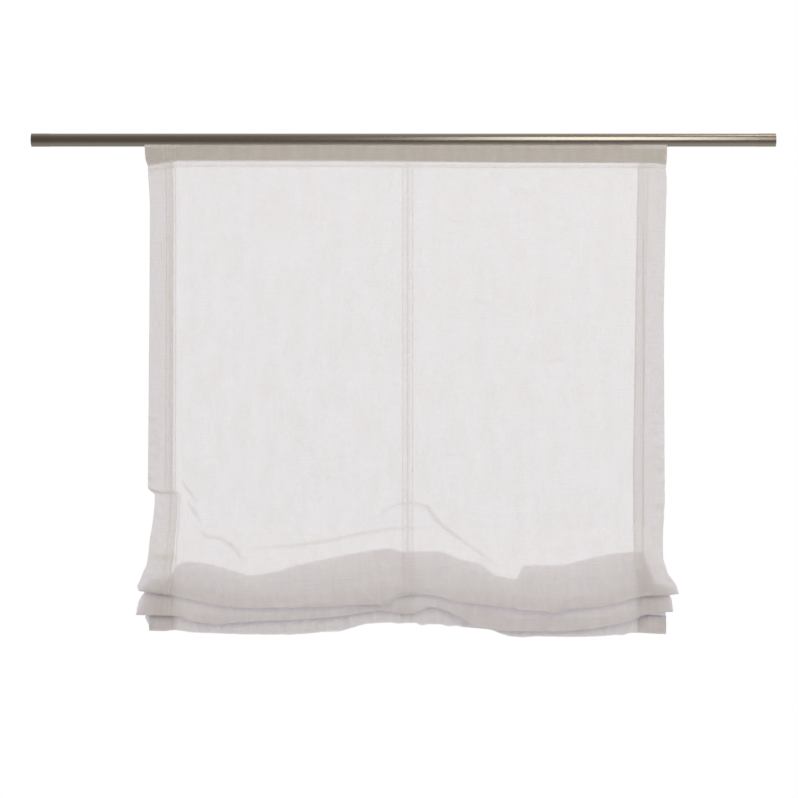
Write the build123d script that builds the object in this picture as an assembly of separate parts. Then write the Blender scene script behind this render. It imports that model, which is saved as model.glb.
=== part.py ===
from build123d import *
import os

# Roman blind on a slotted rod, in millimetres.
# X runs along the rod, -Y is the room side and +Z is up.
# The origin is the centre of the rod's left end face.

# ---- rod: an extruded round profile with a T-shaped track in its lower half ----
rod_length = 1150.0
rod_diameter = 20.0
rod_wall = 1.4
track_width = 11.0
track_height = 7.0
lip_height = 3.0           # from the track's floor down to the rod's underside
slot_width = 4.2
web_above_track = 1.6

# ---- end caps ----
cap_length = 28.0
cap_step = 0.2             # the caps stand this far proud of the tube
spigot_length = 15.0
spigot_clearance = 0.2

# ---- track stops ----
stop_inset = 90.0          # from the rod's end to the stop
stop_length = 12.0
stop_headroom = 0.6
stop_screw_diameter = 3.0
stop_screw_length = 8.4
stop_limit_gap = 0.3

# ---- gliders ----
glider_count = 5
glider_from_rail_end = 30.0
glider_length = 24.0
glider_height = 4.0
glider_clearance = 0.3
neck_length = 10.0
neck_clearance = 0.4
neck_drop = 2.0            # from the rod's underside to the rail
glider_screw_diameter = 2.5
glider_screw_depth = 4.0
screw_head_diameter = 5.0
screw_head_height = 1.4
screw_fit = 0.05

# ---- carrier rail, an L section ----
rail_from_edge = 50.0      # from the cloth's edge to the rail's end
rail_height = 20.0
rail_depth = 11.0
rail_wall = 2.0

# ---- hook and loop ----
hook_thickness = 1.0
loop_thickness = 0.9
loop_inset = 2.0

# ---- cloth ----
blind_left = 180.0         # from the rod's end to the cloth's edge
blind_width = 800.0
cloth_thickness = 0.5
turn_gap = 0.3             # between the two layers of a hem
cloth_fit = 0.05
rod_cloth_gap = 0.5        # from the rod to the cloth in front of it
heading_rise = 2.35        # from the rod's underside up to the cloth's top edge
heading_depth = 33.0
side_hem_width = 26.0
bottom_hem_depth = 30.0

# ---- folds, as heights below the rod's axis and places behind it ----
first_bend_drop = 608.0
front_bulge = 12.0
front_bulge_drop = 640.0
fold_1_bottom = 695.0
lift_2_top = 634.0
fold_2_bottom = 729.0
lift_1_top = 678.0
hem_bottom = 763.0
fold_1_gap = 8.0
lift_2_gap = 6.5
fold_2_gap = 8.5
lift_1_gap = 7.0
bulge_radius = 30.0
turn_share = 0.485         # a turn's radius, as a share of the gap that it spans

# ---- lifting tapes ----
tape_width = 17.0
tape_thickness = 0.45
tape_fit = 0.1
tape_from_hem = 0.5
centre_tape_shift = 1.5

# ---- lift cords ----
cord_diameter = 1.4
cord_clearance = 0.4
knot_diameter = 3.6
cord_back = 3.1            # behind the rod's axis, at the cord stop
cord_top = 17.0
cord_stub_bottom = 34.0
first_loop_drop = 160.0
cord_tape_gap = 0.15
knot_back = 2.4
knot_drop = 676.4

# ---- cord guides ----
guide_wall = 1.4
guide_height = 14.0
guide_reach = 26.0         # from the cord to the plate's far edge
guide_overhang = 10.0
shelf_depth = 10.0
guide_screw_from_cord = 20.0
guide_screw_diameter = 2.5

# ---- cord stops ----
barrel_radius = 4.4
barrel_bore = 3.0
barrel_end_wall = 1.2
barrel_inner = 9.0         # from the cord to the closed end
barrel_outer = 5.0         # from the cord to the open end
seat_gap = 0.3
plunger_clearance = 0.2
plunger_inner = 2.6
press_travel = 3.0
press_end_gap = 0.2
plunger_head_radius = 3.9
plunger_head_length = 2.0
cord_side_gap = 0.15
spring_wire = 0.4
spring_coil_radius = 2.2
spring_turns = 3.5
spring_end_gap = 0.1

# ---- places worked out from the values above ----
rod_radius = rod_diameter / 2
cap_radius = rod_radius + cap_step
ledge_depth = rod_radius - lip_height
blind_centre = blind_left + blind_width / 2
rail_length = blind_width - 2 * rail_from_edge
glider_spacing = (rail_length - 2 * glider_from_rail_end) / (glider_count - 1)
rail_top = -(rod_radius + neck_drop)
rail_bottom = rail_top - rail_height
turn_pitch = cloth_thickness + turn_gap
cloth_top = -rod_radius + heading_rise - cloth_thickness / 2
rod_front_there = (rod_radius**2 - (rod_radius - heading_rise) ** 2) ** 0.5
cloth_back = -(rod_front_there + rod_cloth_gap)    # the heading's back, clear of the rod
loop_front = cloth_back + cloth_fit
hook_front = loop_front + loop_thickness
web_front = hook_front + hook_thickness
web_back = web_front + rail_wall
heading_back_y = cloth_back - cloth_thickness / 2
panel_y = heading_back_y - turn_pitch
heading_foot = cloth_top - heading_depth
shelf_top = rail_bottom + guide_wall + 1.0
barrel_z = shelf_top + seat_gap + barrel_radius
cord_radius = cord_diameter / 2
tape_back = cloth_thickness / 2 + tape_fit + tape_thickness
cord_off_cloth = tape_back + cord_tape_gap + cord_radius   # where a loop holds the cord
outer_tape_reach = blind_width / 2 - side_hem_width - tape_from_hem - tape_width / 2
tape_places = {
    "left": (blind_centre - outer_tape_reach, -1),
    "centre": (blind_centre + centre_tape_shift, -1),
    "right": (blind_centre + outer_tape_reach, 1),
}                          # each tape's X, and the way its cord stop's plunger points
glider_places = [
    blind_centre + (number - (glider_count - 1) / 2) * glider_spacing
    for number in range(glider_count)
]


def block(x, y, z):
    """A box between pairs of low and high values along each axis."""
    size = (x[1] - x[0], y[1] - y[0], z[1] - z[0])
    middle = (sum(x) / 2, sum(y) / 2, sum(z) / 2)
    return Pos(*middle) * Box(*size)


def cylinder_between(start, end, radius):
    """A round bar from one point to another."""
    axis = Vector(*end) - Vector(*start)
    plane = Plane(origin=start, z_dir=axis)
    return extrude(plane * Circle(radius), amount=axis.length)


# ---------------------------------------------------------------- rod and caps

def rod_tube():
    outside = Circle(rod_radius)
    crown = Circle(rod_radius - rod_wall)
    crown -= Pos(0, web_above_track - rod_radius) * Rectangle(rod_diameter, rod_diameter)
    track = Pos(0, track_height / 2 - ledge_depth) * Rectangle(track_width, track_height)
    slot = Pos(0, -ledge_depth - lip_height / 2) * Rectangle(slot_width, lip_height + 1)
    section = outside - crown - track - slot
    return extrude(Plane.YZ.offset(cap_length) * section, amount=rod_length - 2 * cap_length)


def end_cap(side):
    outer_face = 0.0 if side < 0 else rod_length
    shoulder = outer_face - side * cap_length
    body = cylinder_between((outer_face, 0, 0), (shoulder, 0, 0), cap_radius)
    tip = shoulder - side * spigot_length
    half_width = track_width / 2 - spigot_clearance
    floor = -ledge_depth + spigot_clearance
    ceiling = track_height - ledge_depth - spigot_clearance
    spigot = block(sorted((shoulder, tip)), (-half_width, half_width), (floor, ceiling))
    return body + spigot


def stop_middle(side):
    from_end = stop_inset + stop_length / 2
    return from_end if side < 0 else rod_length - from_end


def track_stop(side):
    x = stop_middle(side)
    half_width = track_width / 2 - glider_clearance
    top = track_height - ledge_depth - stop_headroom
    body = block(
        (x - stop_length / 2, x + stop_length / 2),
        (-half_width, half_width),
        (-ledge_depth, top),
    )
    hole = cylinder_between((x, 0, -ledge_depth - 1), (x, 0, top + 1), stop_screw_diameter / 2 + screw_fit)
    return body - hole


def stop_screw(side):
    x = stop_middle(side)
    top = track_height - ledge_depth
    return cylinder_between((x, 0, top - stop_screw_length), (x, 0, top), stop_screw_diameter / 2)


# ------------------------------------------------------------ gliders and rail

def glider(x):
    half_width = track_width / 2 - glider_clearance
    floor = -ledge_depth + glider_clearance
    shoe = block(
        (x - glider_length / 2, x + glider_length / 2),
        (-half_width, half_width),
        (floor, floor + glider_height),
    )
    shoe = fillet(shoe.edges().filter_by(Axis.Z), half_width / 3)
    half_neck = slot_width / 2 - neck_clearance
    neck = block((x - neck_length / 2, x + neck_length / 2), (-half_neck, half_neck), (rail_top, floor))
    hole = cylinder_between(
        (x, 0, rail_top - 1),
        (x, 0, rail_top + glider_screw_depth),
        glider_screw_diameter / 2 + screw_fit,
    )
    return shoe + neck - hole


def glider_screws():
    screws = []
    underside = rail_top - rail_wall
    for x in glider_places:
        head_foot = (x, 0, underside - screw_head_height)
        head = cylinder_between(head_foot, (x, 0, underside), screw_head_diameter / 2)
        tip = (x, 0, rail_top + glider_screw_depth - screw_fit)
        screws.append(head + cylinder_between(head_foot, tip, glider_screw_diameter / 2))
    return Compound(children=screws)


def guide_screw_x(tape):
    x, way = tape_places[tape]
    return x - way * guide_screw_from_cord


def guide_screw_z():
    return shelf_top + guide_height / 2


def carrier_rail():
    ends = (blind_centre - rail_length / 2, blind_centre + rail_length / 2)
    flange = block(ends, (web_front, web_front + rail_depth), (rail_top - rail_wall, rail_top))
    web = block(ends, (web_front, web_back), (rail_bottom, rail_top))
    rail = flange + web
    for x in glider_places:
        reach = (x, 0, rail_top + 1), (x, 0, rail_top - rail_wall - 1)
        rail -= cylinder_between(*reach, glider_screw_diameter / 2 + screw_fit)
    for tape in tape_places:
        x, z = guide_screw_x(tape), guide_screw_z()
        reach = (x, web_front - 1, z), (x, web_back + 1, z)
        rail -= cylinder_between(*reach, guide_screw_diameter / 2 + screw_fit)
    return rail


def hook_tape():
    ends = (blind_centre - rail_length / 2, blind_centre + rail_length / 2)
    return block(ends, (hook_front, web_front), (rail_bottom, rail_top))


def loop_tape():
    ends = (blind_left + loop_inset, blind_left + blind_width - loop_inset)
    return block(ends, (loop_front, hook_front), (rail_bottom, rail_top))


# ------------------------------------------------------------------ the cloth
# The cloth is drawn as the line that its middle follows, seen from the rod's end:
# corners of (Y, Z) with a radius for each, from the heading's turned edge to the
# bottom hem's. A positive offset lies on the side that faces the window.

fold_1_front = panel_y - front_bulge
fold_1_back = fold_1_front + fold_1_gap
fold_2_front = fold_1_back + lift_2_gap
fold_2_back = fold_2_front + fold_2_gap
flap_y = fold_2_back + lift_1_gap
hem_back_y = flap_y + turn_pitch

heading_turn = [
    ((heading_back_y, heading_foot), 0),
    ((heading_back_y, cloth_top), turn_share * turn_pitch),
    ((panel_y, cloth_top), turn_share * turn_pitch),
]
folds = [
    ((panel_y, -first_bend_drop), bulge_radius),
    ((fold_1_front, -front_bulge_drop), bulge_radius),
    ((fold_1_front, -fold_1_bottom), turn_share * fold_1_gap),
    ((fold_1_back, -fold_1_bottom), turn_share * fold_1_gap),
    ((fold_1_back, -lift_2_top), turn_share * lift_2_gap),
    ((fold_2_front, -lift_2_top), turn_share * lift_2_gap),
    ((fold_2_front, -fold_2_bottom), turn_share * fold_2_gap),
    ((fold_2_back, -fold_2_bottom), turn_share * fold_2_gap),
    ((fold_2_back, -lift_1_top), turn_share * lift_1_gap),
    ((flap_y, -lift_1_top), turn_share * lift_1_gap),
]
bottom_turn = [
    ((flap_y, -hem_bottom), turn_share * turn_pitch),
    ((hem_back_y, -hem_bottom), turn_share * turn_pitch),
    ((hem_back_y, -hem_bottom + bottom_hem_depth), 0),
]
hem_margin = 2.0           # a side hem or tape stops this far short of the other hems
between_hems = [
    ((panel_y, heading_foot - hem_margin), 0),
    *folds,
    ((flap_y, -hem_bottom + bottom_hem_depth + hem_margin), 0),
]


def offset_line(route, distance):
    """The route moved sideways, with its turns still round the same centres."""
    points = [Vector(y, z) for (y, z), _ in route]
    ways = [(b - a).normalized() for a, b in zip(points, points[1:])]
    normals = [Vector(-way.Y, way.X) for way in ways]
    moved = [points[0] + normals[0] * distance]
    radii = []
    for i in range(1, len(points) - 1):
        before, after = normals[i - 1], normals[i]
        moved.append(points[i] + (before + after) * (distance / (1 + before.dot(after))))
        turns_left = ways[i - 1].cross(ways[i]).Z > 0
        radii.append(route[i][1] - distance if turns_left else route[i][1] + distance)
    moved.append(points[-1] + normals[-1] * distance)
    return moved, radii


def layer(route, near, far, x_low, x_high):
    """A layer of cloth between two offsets of a route, as wide as X says."""
    near_points, near_radii = offset_line(route, near)
    far_points, far_radii = offset_line(route, far)
    near_side = FilletPolyline(*near_points, radius=near_radii)
    far_side = FilletPolyline(*far_points, radius=far_radii)
    ends = [Line(near_points[0], far_points[0]), Line(near_points[-1], far_points[-1])]
    section = make_face(Curve() + [near_side, far_side, *ends])
    return extrude(Plane.YZ.offset(x_low) * section, amount=x_high - x_low)


def fabric_panel():
    half = cloth_thickness / 2
    right = blind_left + blind_width
    cloth = layer(heading_turn + folds + bottom_turn, -half, half, blind_left, right)
    hem_near, hem_far = half + turn_gap, half + turn_gap + cloth_thickness
    for edge, inward in ((blind_left, 1), (right, -1)):
        hem_x = sorted((edge, edge + inward * side_hem_width))
        turn_x = sorted((edge, edge + inward * cloth_thickness))
        cloth += layer(between_hems, hem_near, hem_far, *hem_x)
        cloth += layer(between_hems, half, hem_near, *turn_x)
    return cloth


def lifting_tape(x):
    near = cloth_thickness / 2 + tape_fit
    return layer(between_hems, near, near + tape_thickness, x - tape_width / 2, x + tape_width / 2)


# ------------------------------------------------------- lift cords and guides

def lift_cord(x):
    held_y = panel_y + cord_off_cloth
    past_lift_y = fold_2_front + cord_off_cloth + cord_tape_gap
    route = [
        (cord_back, -cord_top),
        (cord_back, -cord_stub_bottom),
        (held_y, -first_loop_drop),
        (held_y, -first_bend_drop),
        (past_lift_y, -lift_2_top),
        (knot_back, -knot_drop),
    ]
    radii = [150.0, 400.0, 60.0, 60.0]
    line = FilletPolyline(*[(x, y, z) for y, z in route], radius=radii)
    section = Plane(origin=(x, *route[0]), z_dir=(0, 0, -1)) * Circle(cord_radius)
    cord = sweep(section, path=line)
    print(f"cord at X {x:.0f}: {line.length:.0f} long, radii {radii}")
    return cord + Pos(x, knot_back, -knot_drop) * Sphere(knot_diameter / 2)


def cord_guide(tape):
    x, way = tape_places[tape]
    x_range = sorted((x + way * guide_overhang, x - way * guide_reach))
    plate_z = (shelf_top - guide_wall, shelf_top + guide_height)
    plate = block(x_range, (web_back, web_back + guide_wall), plate_z)
    shelf_x = (x - guide_overhang, x + guide_overhang)
    shelf_y = (web_back, web_back + guide_wall + shelf_depth)
    shelf = block(shelf_x, shelf_y, (shelf_top - guide_wall, shelf_top))
    eye = cylinder_between(
        (x, cord_back, shelf_top + 1),
        (x, cord_back, shelf_top - guide_wall - 1),
        cord_radius + cord_clearance,
    )
    screw_x, screw_z = guide_screw_x(tape), guide_screw_z()
    screw_hole = cylinder_between(
        (screw_x, web_back - 1, screw_z),
        (screw_x, web_back + guide_wall + 1, screw_z),
        guide_screw_diameter / 2 + screw_fit,
    )
    return plate + shelf - eye - screw_hole


def guide_screws():
    screws = []
    plate_back = web_back + guide_wall
    for tape in tape_places:
        x, z = guide_screw_x(tape), guide_screw_z()
        head_top = (x, plate_back + screw_head_height, z)
        head = cylinder_between(head_top, (x, plate_back, z), screw_head_diameter / 2)
        tip = (x, web_front + screw_fit, z)
        screws.append(head + cylinder_between(head_top, tip, guide_screw_diameter / 2))
    return Compound(children=screws)


# ------------------------------------------------------------------ cord stops

def on_barrel_axis(x, way, along):
    """A point on a cord stop's axis, measured from its cord towards the plunger."""
    return (x + way * along, cord_back, barrel_z)


def stop_barrel(x, way):
    closed_end = on_barrel_axis(x, way, -barrel_inner)
    open_end = on_barrel_axis(x, way, barrel_outer)
    body = cylinder_between(closed_end, open_end, barrel_radius)
    bore_start = on_barrel_axis(x, way, barrel_end_wall - barrel_inner)
    body -= cylinder_between(bore_start, on_barrel_axis(x, way, barrel_outer + 1), barrel_bore)
    eye_reach = barrel_radius + 1
    return body - cylinder_between(
        (x, cord_back, barrel_z - eye_reach),
        (x, cord_back, barrel_z + eye_reach),
        cord_radius + cord_clearance,
    )


def stop_plunger(x, way):
    shank_radius = barrel_bore - plunger_clearance
    head_start = barrel_outer + press_travel + press_end_gap
    shank = cylinder_between(
        on_barrel_axis(x, way, -plunger_inner),
        on_barrel_axis(x, way, head_start),
        shank_radius,
    )
    head = cylinder_between(
        on_barrel_axis(x, way, head_start),
        on_barrel_axis(x, way, head_start + plunger_head_length),
        plunger_head_radius,
    )
    side = cord_radius + cord_side_gap
    window_x = sorted((x - way * side, x + way * (side + press_travel)))
    window_y = (cord_back - side, cord_back + side)
    window_z = (barrel_z - 2 * barrel_bore, barrel_z + 2 * barrel_bore)
    window = block(window_x, window_y, window_z)
    return shank + head - window


def stop_spring(x, way):
    start = barrel_end_wall - barrel_inner + spring_end_gap + spring_wire / 2
    height = -plunger_inner - spring_end_gap - spring_wire / 2 - start
    line = Helix(pitch=height / spring_turns, height=height, radius=spring_coil_radius)
    section = Plane(origin=line @ 0, z_dir=line % 0) * Circle(spring_wire / 2)
    coil = sweep(section, path=line, is_frenet=True)
    return Plane(origin=on_barrel_axis(x, way, start), z_dir=(way, 0, 0)) * coil


# ------------------------------------------------------------------ every node

nodes = {
    "rod_tube": rod_tube(),
    "end_cap_left": end_cap(-1),
    "end_cap_right": end_cap(1),
    "track_stop_left": track_stop(-1),
    "track_stop_right": track_stop(1),
    "stop_screw_left": stop_screw(-1),
    "stop_screw_right": stop_screw(1),
    "carrier_rail": carrier_rail(),
    "glider_screws": glider_screws(),
    "hook_tape": hook_tape(),
    "loop_tape": loop_tape(),
    "fabric_panel": fabric_panel(),
    "guide_screws": guide_screws(),
}
for number, glider_x in enumerate(glider_places, start=1):
    nodes[f"glider_{number}"] = glider(glider_x)
for tape, (tape_x, way) in tape_places.items():
    nodes[f"lifting_tape_{tape}"] = lifting_tape(tape_x)
    nodes[f"lift_cord_{tape}"] = lift_cord(tape_x)
    nodes[f"cord_guide_{tape}"] = cord_guide(tape)
    nodes[f"cord_stop_{tape}"] = stop_barrel(tape_x, way)
    nodes[f"stop_plunger_{tape}"] = stop_plunger(tape_x, way)
    nodes[f"stop_spring_{tape}"] = stop_spring(tape_x, way)

left_travel = glider_places[0] - glider_length / 2 - stop_inset - stop_length - stop_limit_gap
right_travel = rod_length - stop_inset - stop_length - glider_places[-1] - glider_length / 2 - stop_limit_gap
print(f"the blind slides {left_travel:.1f} to the left and {right_travel:.1f} to the right")

os.makedirs("parts", exist_ok=True)
for name, solid in nodes.items():
    export_step(solid, f"parts/{name}.step")
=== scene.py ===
import bpy
import bmesh
import math
import numpy as np
from mathutils import Matrix, Vector


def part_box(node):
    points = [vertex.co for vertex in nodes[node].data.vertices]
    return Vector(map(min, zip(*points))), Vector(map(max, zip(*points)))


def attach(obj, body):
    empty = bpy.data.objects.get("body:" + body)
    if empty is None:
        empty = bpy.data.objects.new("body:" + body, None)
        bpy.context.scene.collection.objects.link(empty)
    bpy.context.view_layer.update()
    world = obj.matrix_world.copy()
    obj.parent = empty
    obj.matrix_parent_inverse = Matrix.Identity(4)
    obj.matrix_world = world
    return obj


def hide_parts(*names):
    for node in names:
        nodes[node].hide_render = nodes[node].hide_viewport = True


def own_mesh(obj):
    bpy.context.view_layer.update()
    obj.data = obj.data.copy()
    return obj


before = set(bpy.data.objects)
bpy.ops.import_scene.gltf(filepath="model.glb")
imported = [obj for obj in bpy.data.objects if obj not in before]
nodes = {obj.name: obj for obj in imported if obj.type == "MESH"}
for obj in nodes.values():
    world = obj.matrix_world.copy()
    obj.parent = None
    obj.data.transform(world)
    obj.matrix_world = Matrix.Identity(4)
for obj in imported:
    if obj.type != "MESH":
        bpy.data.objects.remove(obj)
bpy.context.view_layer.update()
print("frame loaded:", len(nodes), "nodes")


def boxOf(node):
    low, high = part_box(node)
    return Vector(low), Vector(high)


panelLow, panelHigh = boxOf("fabric_panel")
loopLow, loopHigh = boxOf("loop_tape")
tapeX = {}
for side in ("left", "centre", "right"):
    low, high = boxOf(f"lifting_tape_{side}")
    tapeX[side] = (low.x + high.x) / 2
tapeWidth = high.x - low.x
blindLeft, blindRight = panelLow.x, panelHigh.x
blindWidth = blindRight - blindLeft


# camera, straight on to the blind

camera = {
    "distance": 4.0,
    "width": 1.2335,         # how much the view takes in across the cloth
    "right": 0.5680,
    "down": 0.4002,
    "sensor": 36.0,
    "clipEnd": 40.0,
}


def makeCamera():
    data = bpy.data.cameras.new("camera")
    eye = bpy.data.objects.new("camera", data)
    bpy.context.scene.collection.objects.link(eye)
    data.sensor_width = camera["sensor"]
    data.lens = camera["sensor"] * camera["distance"] / camera["width"]
    data.clip_end = camera["clipEnd"]
    eye.location = (camera["right"], -camera["distance"], -camera["down"])
    eye.rotation_euler = (math.pi / 2, 0, 0)
    bpy.context.scene.camera = eye


makeCamera()
print("camera placed")


# small helpers for meshes and materials

def newObject(name, bm, material, body, smooth=True):
    mesh = bpy.data.meshes.new(name)
    bm.to_mesh(mesh)
    bm.free()
    piece = bpy.data.objects.new(name, mesh)
    bpy.context.scene.collection.objects.link(piece)
    mesh.materials.append(material)
    for face in mesh.polygons:
        face.use_smooth = smooth
    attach(piece, body)
    return piece


def newMaterial(name):
    material = bpy.data.materials.new(name)
    material.use_nodes = True
    tree = material.node_tree
    tree.nodes.clear()
    output = tree.nodes.new("ShaderNodeOutputMaterial")
    return material, tree, output


def addNode(tree, kind, values=None, **settings):
    node = tree.nodes.new(kind)
    for key, value in settings.items():
        setattr(node, key, value)
    for key, value in (values or {}).items():
        node.inputs[key].default_value = value
    return node


def sumOf(tree, operation, a, b):
    node = addNode(tree, "ShaderNodeMath", operation=operation)
    for socket, value in zip(node.inputs, (a, b)):
        if isinstance(value, (int, float)):
            socket.default_value = value
        else:
            tree.links.new(value, socket)
    return node.outputs[0]


def toRange(tree, value, fromLow, fromHigh, toLow, toHigh):
    node = addNode(tree, "ShaderNodeMapRange", {
        "From Min": fromLow, "From Max": fromHigh, "To Min": toLow, "To Max": toHigh,
    })
    tree.links.new(value, node.inputs["Value"])
    return node.outputs["Result"]


def stretchedNoise(tree, vector, scale, detail, rough):
    mapping = addNode(tree, "ShaderNodeMapping", {"Scale": scale})
    tree.links.new(vector, mapping.inputs["Vector"])
    texture = addNode(tree, "ShaderNodeTexNoise", {"Scale": 1.0, "Detail": detail, "Roughness": rough})
    tree.links.new(mapping.outputs["Vector"], texture.inputs["Vector"])
    return texture.outputs["Fac"]


# shared effect: a sheer plain weave with slubs, on a UV map in metres

weave = {
    "thread": 0.00055,       # from one warp thread to the next
    "pickShare": 0.93,       # how many weft threads there are for each warp thread
    "slubLength": 0.055,
    "slubHeight": 0.0011,
    "bandWidth": 0.020,
    "paintedCreaseShade": 0.20,     # painted crease shade: how much darker the threads are drawn along a crease
}


def makeWeaveGroup():
    group = bpy.data.node_groups.new("slubWeave", "ShaderNodeTree")
    for name, value in (("Density", 0.65), ("Slub", 0.10), ("Bands", 0.03), ("Open", 0.2)):
        socket = group.interface.new_socket(name, in_out="INPUT", socket_type="NodeSocketFloat")
        socket.default_value = value
    group.interface.new_socket("Vector", in_out="INPUT", socket_type="NodeSocketVector")
    group.interface.new_socket("Cover", in_out="OUTPUT", socket_type="NodeSocketFloat")
    group.interface.new_socket("Tone", in_out="OUTPUT", socket_type="NodeSocketFloat")
    group.interface.new_socket("Height", in_out="OUTPUT", socket_type="NodeSocketFloat")
    entry = group.nodes.new("NodeGroupInput")
    leave = group.nodes.new("NodeGroupOutput")
    where = entry.outputs["Vector"]
    along, high, wide = 1 / weave["slubLength"], 1 / weave["slubHeight"], 1 / weave["bandWidth"]
    weft = stretchedNoise(group, where, (along, high * 0.8, 1), 1.5, 0.6)
    warp = stretchedNoise(group, where, (high * 0.5, along * 1.2, 7), 1.5, 0.6)
    bands = stretchedNoise(group, where, (wide, wide * 0.3, 3), 2.0, 0.5)
    weftSlub = toRange(group, weft, 0.60, 0.80, 0.0, 1.3)
    warpSlub = toRange(group, warp, 0.60, 0.80, 0.0, 0.6)
    thin = toRange(group, weft, 0.24, 0.44, -0.5, 0.0)
    slubs = sumOf(group, "ADD", sumOf(group, "ADD", weftSlub, warpSlub), thin)
    split = addNode(group, "ShaderNodeSeparateXYZ")
    group.links.new(where, split.inputs[0])
    turns = 2 * math.pi / weave["thread"]
    across = sumOf(group, "MULTIPLY", split.outputs["X"], turns)
    down = sumOf(group, "MULTIPLY", split.outputs["Y"], turns * weave["pickShare"])
    across, down = sumOf(group, "SINE", across, 0.0), sumOf(group, "SINE", down, 0.0)
    threads = sumOf(group, "MULTIPLY", sumOf(group, "ADD", across, down), 0.25)
    cover = sumOf(group, "MULTIPLY", slubs, entry.outputs["Slub"])
    cover = sumOf(group, "ADD", cover, entry.outputs["Density"])
    banding = toRange(group, bands, 0.35, 0.65, -1.0, 1.0)
    cover = sumOf(group, "ADD", cover, sumOf(group, "MULTIPLY", banding, entry.outputs["Bands"]))
    cover = sumOf(group, "ADD", cover, sumOf(group, "MULTIPLY", threads, entry.outputs["Open"]))
    clamp = addNode(group, "ShaderNodeClamp")
    group.links.new(cover, clamp.inputs["Value"])
    group.links.new(clamp.outputs["Result"], leave.inputs["Cover"])
    group.links.new(toRange(group, slubs, 0.0, 1.0, 1.0, 0.93), leave.inputs["Tone"])
    group.links.new(sumOf(group, "ADD", threads, slubs), leave.inputs["Height"])
    return group


# shared effect: fine brushing along a bar, and moulded grain

def makeGrainGroup():
    group = bpy.data.node_groups.new("fineGrain", "ShaderNodeTree")
    for name, value in (("Roughness", 0.3), ("Spread", 0.08)):
        socket = group.interface.new_socket(name, in_out="INPUT", socket_type="NodeSocketFloat")
        socket.default_value = value
    group.interface.new_socket("Vector", in_out="INPUT", socket_type="NodeSocketVector")
    group.interface.new_socket("Rough", in_out="OUTPUT", socket_type="NodeSocketFloat")
    group.interface.new_socket("Height", in_out="OUTPUT", socket_type="NodeSocketFloat")
    entry = group.nodes.new("NodeGroupInput")
    leave = group.nodes.new("NodeGroupOutput")
    grain = stretchedNoise(group, entry.outputs["Vector"], (1, 1, 1), 3.0, 0.6)
    offset = sumOf(group, "MULTIPLY", sumOf(group, "SUBTRACT", grain, 0.5), entry.outputs["Spread"])
    group.links.new(sumOf(group, "ADD", offset, entry.outputs["Roughness"]), leave.inputs["Rough"])
    group.links.new(grain, leave.inputs["Height"])
    return group


weaveGroup = makeWeaveGroup()
grainGroup = makeGrainGroup()


def clothMaterial(name, look, seams=(), rows=()):
    # seams run down the piece and rows across it, each as place, width and how much denser it is
    material, tree, output = newMaterial(name)
    uv = addNode(tree, "ShaderNodeUVMap", uv_map="cut")
    group = addNode(tree, "ShaderNodeGroup", node_tree=weaveGroup)
    for key, value in look["weave"].items():
        group.inputs[key].default_value = value
    tree.links.new(uv.outputs["UV"], group.inputs["Vector"])
    # the creases' attribute adds cover along them: partly real pressing, partly painted crease shade
    pressAndShadeMark = addNode(tree, "ShaderNodeAttribute", attribute_name="pressAndPaintedLight")
    cover = sumOf(tree, "ADD", group.outputs["Cover"], pressAndShadeMark.outputs["Fac"])
    split = addNode(tree, "ShaderNodeSeparateXYZ")
    tree.links.new(uv.outputs["UV"], split.inputs[0])
    lines = [("X", *seam) for seam in seams] + [("Y", *row) for row in rows]
    for axis, place, width, extra in lines:
        off = sumOf(tree, "ABSOLUTE", sumOf(tree, "SUBTRACT", split.outputs[axis], place), 0.0)
        line = toRange(tree, off, width * 0.5, width, extra, 0.0)
        cover = sumOf(tree, "ADD", cover, line)
    front = addNode(tree, "ShaderNodeBsdfPrincipled", {
        "Roughness": 0.92, "Specular IOR Level": 0.15, "Sheen Weight": 0.15, "Sheen Roughness": 0.5,
    })
    # painted crease shade: the threads are darkened wherever the creases' attribute marks a crease
    shaded = sumOf(tree, "MAXIMUM", pressAndShadeMark.outputs["Fac"], 0.0)
    shaded = sumOf(tree, "MULTIPLY", shaded, weave["paintedCreaseShade"])
    tone = sumOf(tree, "SUBTRACT", group.outputs["Tone"], shaded)
    black = (0, 0, 0, 1)
    tint = addNode(tree, "ShaderNodeMix", {"A": black, "B": look["thread"]}, data_type="RGBA")
    tree.links.new(tone, tint.inputs["Factor"])
    tree.links.new(tint.outputs["Result"], front.inputs["Base Color"])
    raised = addNode(tree, "ShaderNodeBump", {"Strength": look["bump"], "Distance": 0.0002})
    tree.links.new(group.outputs["Height"], raised.inputs["Height"])
    tree.links.new(raised.outputs["Normal"], front.inputs["Normal"])
    glow = addNode(tree, "ShaderNodeBsdfTranslucent")
    passing = addNode(tree, "ShaderNodeMix", {"A": black, "B": look["through"]}, data_type="RGBA")
    tree.links.new(tone, passing.inputs["Factor"])
    tree.links.new(passing.outputs["Result"], glow.inputs["Color"])
    both = addNode(tree, "ShaderNodeMixShader", {"Fac": look["throughShare"]})
    tree.links.new(front.outputs[0], both.inputs[1])
    tree.links.new(glow.outputs[0], both.inputs[2])
    gaps = addNode(tree, "ShaderNodeBsdfTransparent", {"Color": look["gapTint"]})
    final = addNode(tree, "ShaderNodeMixShader")
    tree.links.new(cover, final.inputs["Fac"])
    tree.links.new(gaps.outputs[0], final.inputs[1])
    tree.links.new(both.outputs[0], final.inputs[2])
    tree.links.new(final.outputs[0], output.inputs["Surface"])
    return material


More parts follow.
